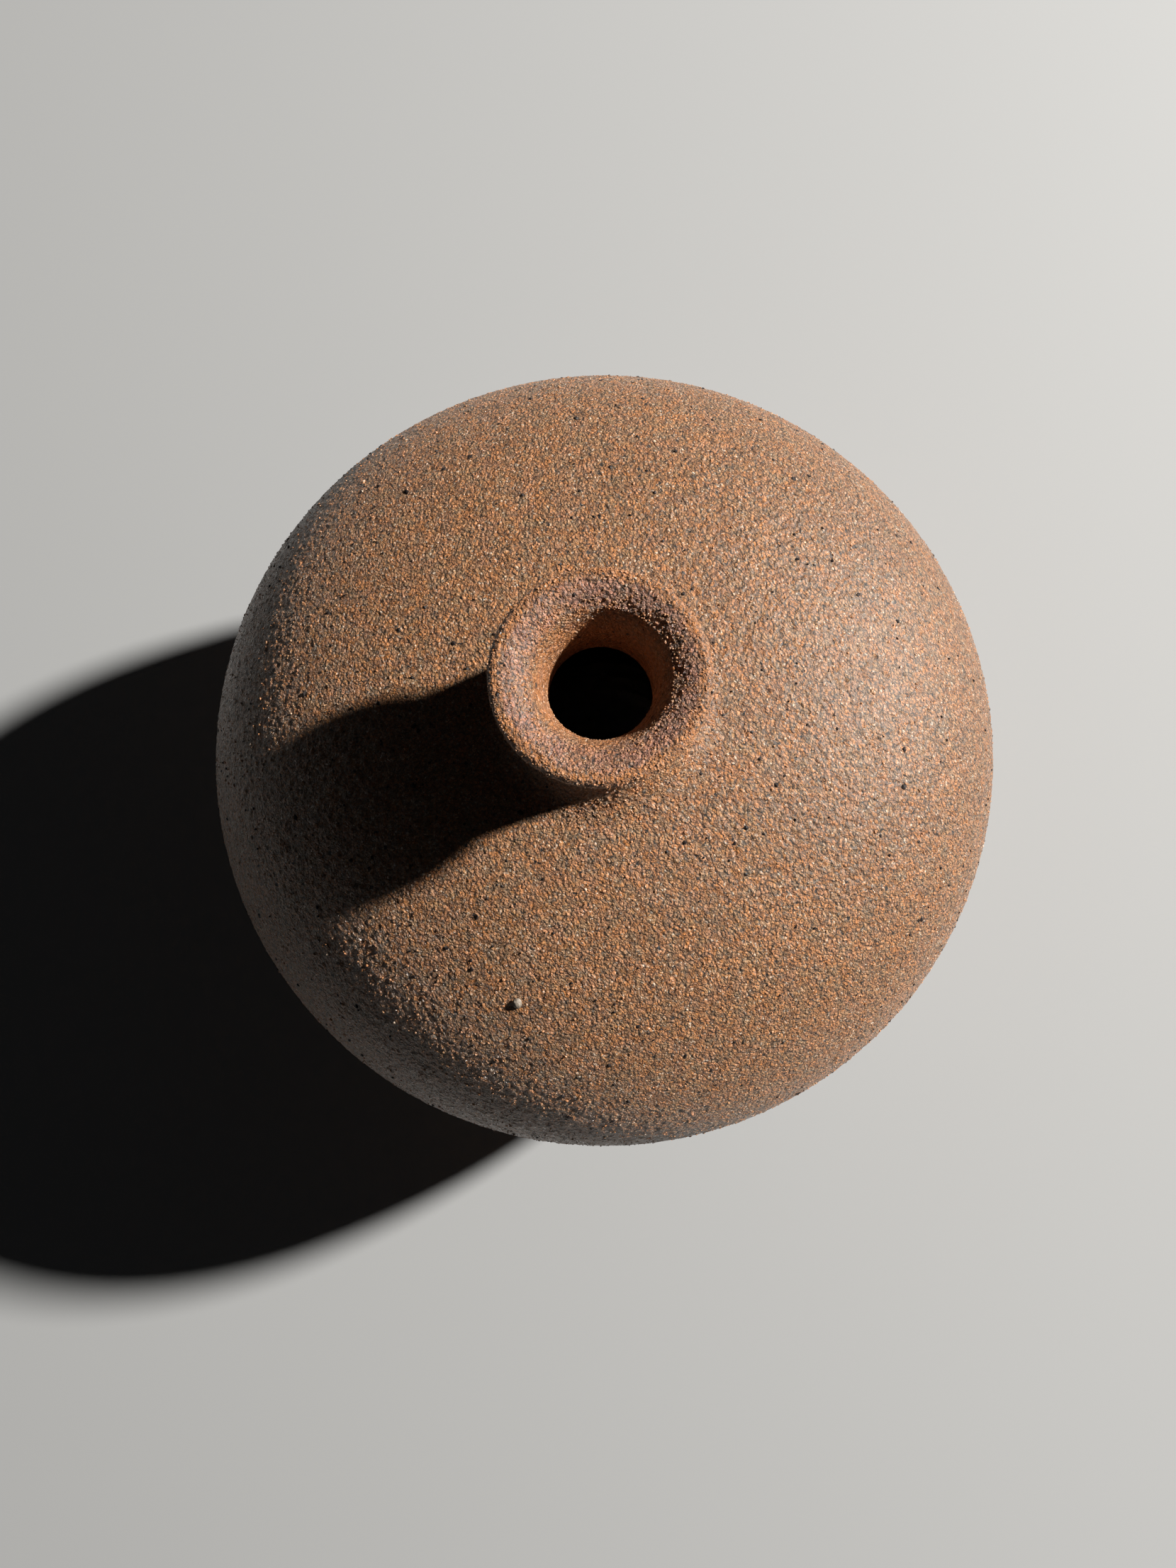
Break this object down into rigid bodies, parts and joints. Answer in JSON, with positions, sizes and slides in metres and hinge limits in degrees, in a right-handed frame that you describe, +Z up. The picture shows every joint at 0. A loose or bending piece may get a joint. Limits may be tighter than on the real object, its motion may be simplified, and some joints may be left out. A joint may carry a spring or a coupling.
{
  "type": "bud vase",
  "caption": "Round bud vase in coarse unglazed stoneware, with a short flared neck, a narrow throat for a stem, a turned foot ring and a glazed inside.",
  "frame": {"origin": "centre of the foot ring, on the plane it rests on", "axes": "+Z up along the axis of the body, neck and throat; -Y towards the viewer, +X to the viewer's right"},
  "size_m": [0.12, 0.12, 0.108],
  "materials": {
    "stoneware": "rough, groggy, unglazed",
    "neck_clay": "rough outside, worn smoother on the lip and in the throat",
    "foot_clay": "turned, rubbed smooth underneath",
    "liner_glaze": "thin poured glaze",
    "slip": "fired slip",
    "grain": "coarse fired stone grain"
  },
  "bodies": {
    "root": {"lower_bowl": "stoneware", "shoulder_dome": "stoneware", "neck": "neck_clay", "foot_ring": "foot_clay", "liner_glaze": "liner_glaze", "equator_slip": "slip", "neck_slip": "slip", "foot_slip": "slip", "grog_pebble": "grain"}
  },
  "joints": []
}
